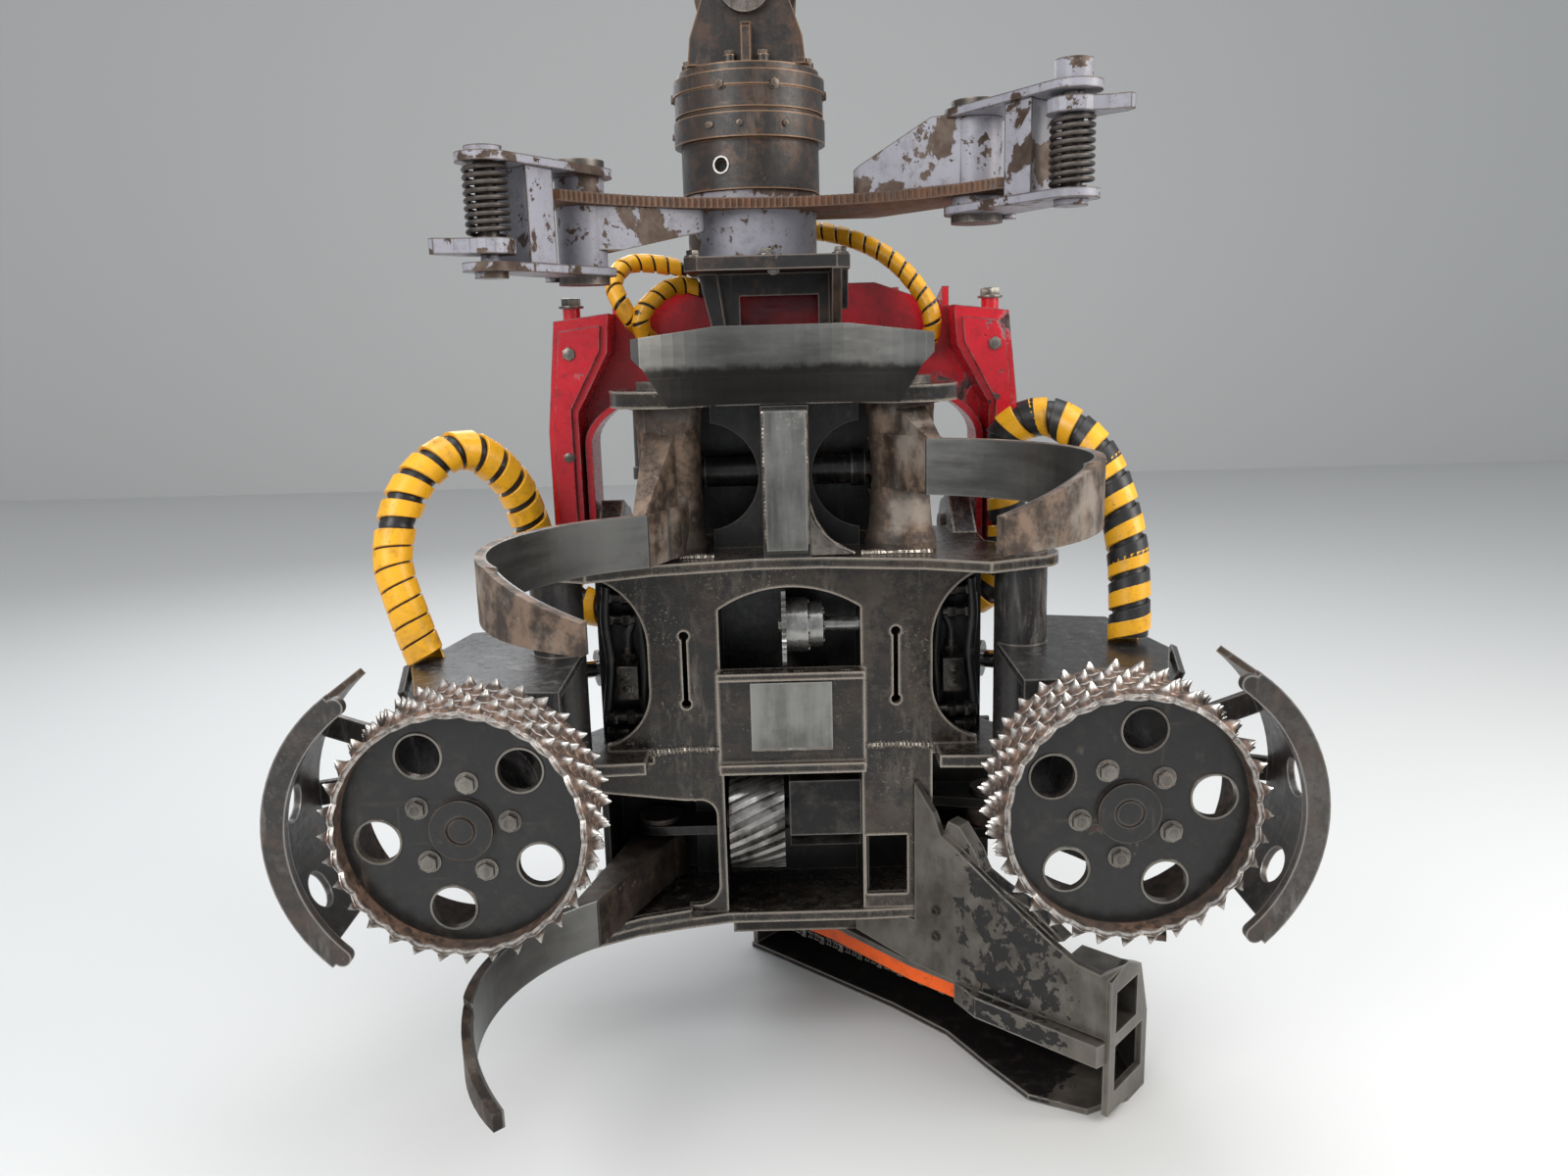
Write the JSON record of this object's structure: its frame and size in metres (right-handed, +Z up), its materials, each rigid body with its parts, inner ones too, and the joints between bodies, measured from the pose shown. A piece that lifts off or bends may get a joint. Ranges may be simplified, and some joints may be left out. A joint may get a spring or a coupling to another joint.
{
  "type": "harvester head",
  "caption": "Felling and processing head on a rotator: collector arms, red tilt yoke, black frame, spiked feed rollers, delimbing knives and a stowed chainsaw bar.",
  "frame": {"origin": "centre of the hanger's bore for the crane's pin", "axes": "+X to the head's right along the crane's pin, -Y towards the trunk side, +Z up"},
  "size_m": [1.624, 1.1794, 2.242],
  "materials": {
    "bar_steel": "oily",
    "black_arm": "oily, worn",
    "black_cylinder": "oily",
    "black_frame": "oily, worn to grey at edges",
    "bright_steel": "scratched bright",
    "chain_steel": "oily",
    "chrome_rod": "polished",
    "grey_paint": "chipped grey paint",
    "guard_steel": "dark worn",
    "orange_lining": "bright orange",
    "pin_steel": "worn",
    "red_paint": "scratched gloss",
    "roller_black": "black, scratched",
    "rotator_steel": "oily, rusted flanges",
    "rotor_black": "worn black",
    "rusty_steel": "rusted",
    "saw_box_steel": "black paint worn to steel",
    "spike_steel": "rusty with bright tips",
    "spring_steel": "dark",
    "worn_steel": "polished by bark, rusty edges",
    "wrapped_hose": "black hose in yellow wrap"
  },
  "bodies": {
    "hanger": {"hanger_link": "rotator_steel"},
    "rotator": {"rotator_housing": "rotator_steel", "swing_pin": "pin_steel"},
    "bracket": {"rotor_body": "rotor_black", "collector_collar": "grey_paint", "collector_plate": "rusty_steel", "mount_bracket": "black_frame", "tilt_yoke": "red_paint", "bracket_pins": "pin_steel", "bracket_hoses": "wrapped_hose"},
    "tilt_barrel_L": {"tilt_barrel_L": "black_cylinder"},
    "tilt_barrel_R": {"tilt_barrel_R": "black_cylinder"},
    "tilt_rod_L": {"tilt_rod_L": "chrome_rod"},
    "tilt_rod_R": {"tilt_rod_R": "chrome_rod"},
    "frame": {"upper_plate": "black_frame", "upper_walls": "black_frame", "middle_plate": "black_frame", "front_skin": "black_frame", "channel_walls": "black_frame", "shelf_plate": "black_frame", "bottom_plate": "black_frame", "top_knife": "worn_steel", "wear_plates": "bright_steel", "knife_pins": "pin_steel", "arm_pins": "pin_steel", "wheel_mounts": "bright_steel", "saw_box": "saw_box_steel", "saw_lining": "orange_lining", "saw_motor": "black_cylinder", "valve_cover": "black_frame", "feed_hose_L": "wrapped_hose", "feed_hose_R": "wrapped_hose"},
    "feed_arm_L": {"feed_arm_L": "black_arm", "feed_motor_L": "black_cylinder", "guard_L": "guard_steel"},
    "feed_arm_R": {"feed_arm_R": "black_arm", "feed_motor_R": "black_cylinder", "guard_R": "guard_steel"},
    "feed_roller_L": {"spiked_drum_L": "spike_steel", "roller_disc_L": "roller_black"},
    "feed_roller_R": {"spiked_drum_R": "spike_steel", "roller_disc_R": "roller_black"},
    "feed_barrel_L": {"feed_barrel_L": "black_cylinder"},
    "feed_barrel_R": {"feed_barrel_R": "black_cylinder"},
    "feed_rod_L": {"feed_rod_L": "chrome_rod"},
    "feed_rod_R": {"feed_rod_R": "chrome_rod"},
    "upper_knife_L": {"upper_knife_L": "worn_steel"},
    "upper_knife_R": {"upper_knife_R": "worn_steel"},
    "knife_barrel": {"knife_barrel": "black_cylinder"},
    "knife_rod": {"knife_rod": "chrome_rod"},
    "lower_knife_L": {"lower_knife_L": "worn_steel"},
    "lower_knife_R": {"lower_knife_R": "worn_steel"},
    "saw": {"saw_bar": "bar_steel", "saw_chain": "chain_steel"},
    "measuring_wheel": {"measuring_wheel": "bright_steel"},
    "inner_roller": {"helical_roller": "bright_steel"},
    "collector_arm_L": {"collector_arm_L": "grey_paint", "collector_spring_L": "spring_steel"},
    "collector_arm_R": {"collector_arm_R": "grey_paint", "collector_spring_R": "spring_steel"}
  },
  "joints": [
    {"name": "hanger_swing", "type": "hinge", "parent": "hanger", "child": "rotator", "pos_m": [0, 0, -0.225], "axis": [0, 1, 0], "range_deg": [-30, 30]},
    {"name": "rotator_turn", "type": "hinge", "parent": "rotator", "child": "bracket", "pos_m": [0, 0, -0.524], "axis": [0, 0, 1], "continuous": true},
    {"name": "head_tilt", "type": "hinge", "parent": "bracket", "child": "frame", "pos_m": [0.05, 0.13, -1.23], "axis": [1, 0, 0], "range_deg": [0, 100]},
    {"name": "tilt_barrel_L_turn", "type": "hinge", "parent": "bracket", "child": "tilt_barrel_L", "pos_m": [-0.234, 0.205, -0.788], "axis": [1, 0, 0], "range_deg": [0, 6.51]},
    {"name": "tilt_rod_L_slide", "type": "slide", "parent": "tilt_barrel_L", "child": "tilt_rod_L", "axis": [0, -0.0472, -0.9989], "range_m": [-0.14382, 0]},
    {"name": "tilt_barrel_R_turn", "type": "hinge", "parent": "bracket", "child": "tilt_barrel_R", "pos_m": [0.334, 0.205, -0.788], "axis": [1, 0, 0], "range_deg": [0, 6.51]},
    {"name": "tilt_rod_R_slide", "type": "slide", "parent": "tilt_barrel_R", "child": "tilt_rod_R", "axis": [0, -0.0472, -0.9989], "range_m": [-0.14382, 0]},
    {"name": "feed_arm_L_close", "type": "hinge", "parent": "frame", "child": "feed_arm_L", "pos_m": [-0.37, -0.25, -1.4075], "axis": [0, 0, 1], "range_deg": [0, 40], "deforming": ["feed_hose_L"]},
    {"name": "feed_arm_R_close", "type": "hinge", "parent": "frame", "child": "feed_arm_R", "pos_m": [0.47, -0.25, -1.4075], "axis": [0, 0, 1], "range_deg": [-40, 0], "deforming": ["feed_hose_R"]},
    {"name": "feed_roller_L_spin", "type": "hinge", "parent": "feed_arm_L", "child": "feed_roller_L", "pos_m": [-0.453, -0.625, -1.542], "axis": [0, 1, 0], "continuous": true},
    {"name": "feed_roller_R_spin", "type": "hinge", "parent": "feed_arm_R", "child": "feed_roller_R", "pos_m": [0.553, -0.625, -1.542], "axis": [0, 1, 0], "continuous": true},
    {"name": "feed_barrel_L_turn", "type": "hinge", "parent": "frame", "child": "feed_barrel_L", "pos_m": [-0.135, 0.01, -1.463], "axis": [0, 0, 1], "range_deg": [0, 2.04]},
    {"name": "feed_rod_L_slide", "type": "slide", "parent": "feed_barrel_L", "child": "feed_rod_L", "axis": [-0.9236, -0.3834, 0], "range_m": [0, 0.10682]},
    {"name": "feed_barrel_R_turn", "type": "hinge", "parent": "frame", "child": "feed_barrel_R", "pos_m": [0.235, 0.01, -1.463], "axis": [0, 0, 1], "range_deg": [-2.04, 0]},
    {"name": "feed_rod_R_slide", "type": "slide", "parent": "feed_barrel_R", "child": "feed_rod_R", "axis": [0.9236, -0.3834, 0], "range_m": [0, 0.10682]},
    {"name": "upper_knife_L_close", "type": "hinge", "parent": "frame", "child": "upper_knife_L", "pos_m": [-0.16, -0.18, -1.08], "axis": [0, 0, 1], "range_deg": [0, 50]},
    {"name": "upper_knife_R_close", "type": "hinge", "parent": "frame", "child": "upper_knife_R", "pos_m": [0.26, -0.18, -1.08], "axis": [0, 0, 1], "range_deg": [-50, 0]},
    {"name": "knife_barrel_turn", "type": "hinge", "parent": "upper_knife_L", "child": "knife_barrel", "pos_m": [-0.14, -0.03, -1.08], "axis": [0, 0, 1], "range_deg": [-50.5, 0]},
    {"name": "knife_rod_slide", "type": "slide", "parent": "knife_barrel", "child": "knife_rod", "axis": [1, 0, 0], "range_m": [0, 0.24998]},
    {"name": "lower_knife_L_close", "type": "hinge", "parent": "frame", "child": "lower_knife_L", "pos_m": [-0.22, -0.09, -1.844], "axis": [0, 0, 1], "range_deg": [0, 42]},
    {"name": "lower_knife_R_close", "type": "hinge", "parent": "frame", "child": "lower_knife_R", "pos_m": [0.45, -0.09, -1.774], "axis": [0, 0, 1], "range_deg": [-42, 0]},
    {"name": "saw_swing", "type": "hinge", "parent": "frame", "child": "saw", "pos_m": [0.05, 0.085, -2.09], "axis": [0, 0, -1], "range_deg": [0, 90]},
    {"name": "measuring_wheel_spin", "type": "hinge", "parent": "frame", "child": "measuring_wheel", "pos_m": [0.04, -0.18, -1.358], "axis": [1, 0, 0], "continuous": true},
    {"name": "inner_roller_spin", "type": "hinge", "parent": "frame", "child": "inner_roller", "pos_m": [-0.02, -0.168, -1.74], "axis": [1, 0, 0], "continuous": true},
    {"name": "collector_arm_L_close", "type": "hinge", "parent": "bracket", "child": "collector_arm_L", "pos_m": [-0.29, -0.22, -0.615], "axis": [0, 0, 1], "range_deg": [0, 95]},
    {"name": "collector_arm_R_close", "type": "hinge", "parent": "bracket", "child": "collector_arm_R", "pos_m": [0.39, -0.22, -0.547], "axis": [0, 0, 1], "range_deg": [-95, 0]}
  ],
  "couplings": [
    {"joint": "tilt_barrel_L_turn", "follows": "head_tilt", "ratio": 0.060085},
    {"joint": "tilt_rod_L_slide", "follows": "head_tilt", "m_per_rad": -0.081828},
    {"joint": "tilt_barrel_R_turn", "follows": "head_tilt", "ratio": 0.060085},
    {"joint": "tilt_rod_R_slide", "follows": "head_tilt", "m_per_rad": -0.081828},
    {"joint": "feed_arm_R_close", "follows": "feed_arm_L_close", "ratio": -1},
    {"joint": "feed_barrel_L_turn", "follows": "feed_arm_L_close", "ratio": 0.038492},
    {"joint": "feed_rod_L_slide", "follows": "feed_arm_L_close", "m_per_rad": 0.15157},
    {"joint": "feed_barrel_R_turn", "follows": "feed_arm_L_close", "ratio": -0.038492},
    {"joint": "feed_rod_R_slide", "follows": "feed_arm_L_close", "m_per_rad": 0.15157},
    {"joint": "upper_knife_R_close", "follows": "upper_knife_L_close", "ratio": -1},
    {"joint": "knife_barrel_turn", "follows": "upper_knife_L_close", "ratio": -1},
    {"joint": "knife_rod_slide", "follows": "upper_knife_L_close", "m_per_rad": 0.28531},
    {"joint": "lower_knife_R_close", "follows": "lower_knife_L_close", "ratio": -1},
    {"joint": "collector_arm_R_close", "follows": "collector_arm_L_close", "ratio": -1}
  ]
}
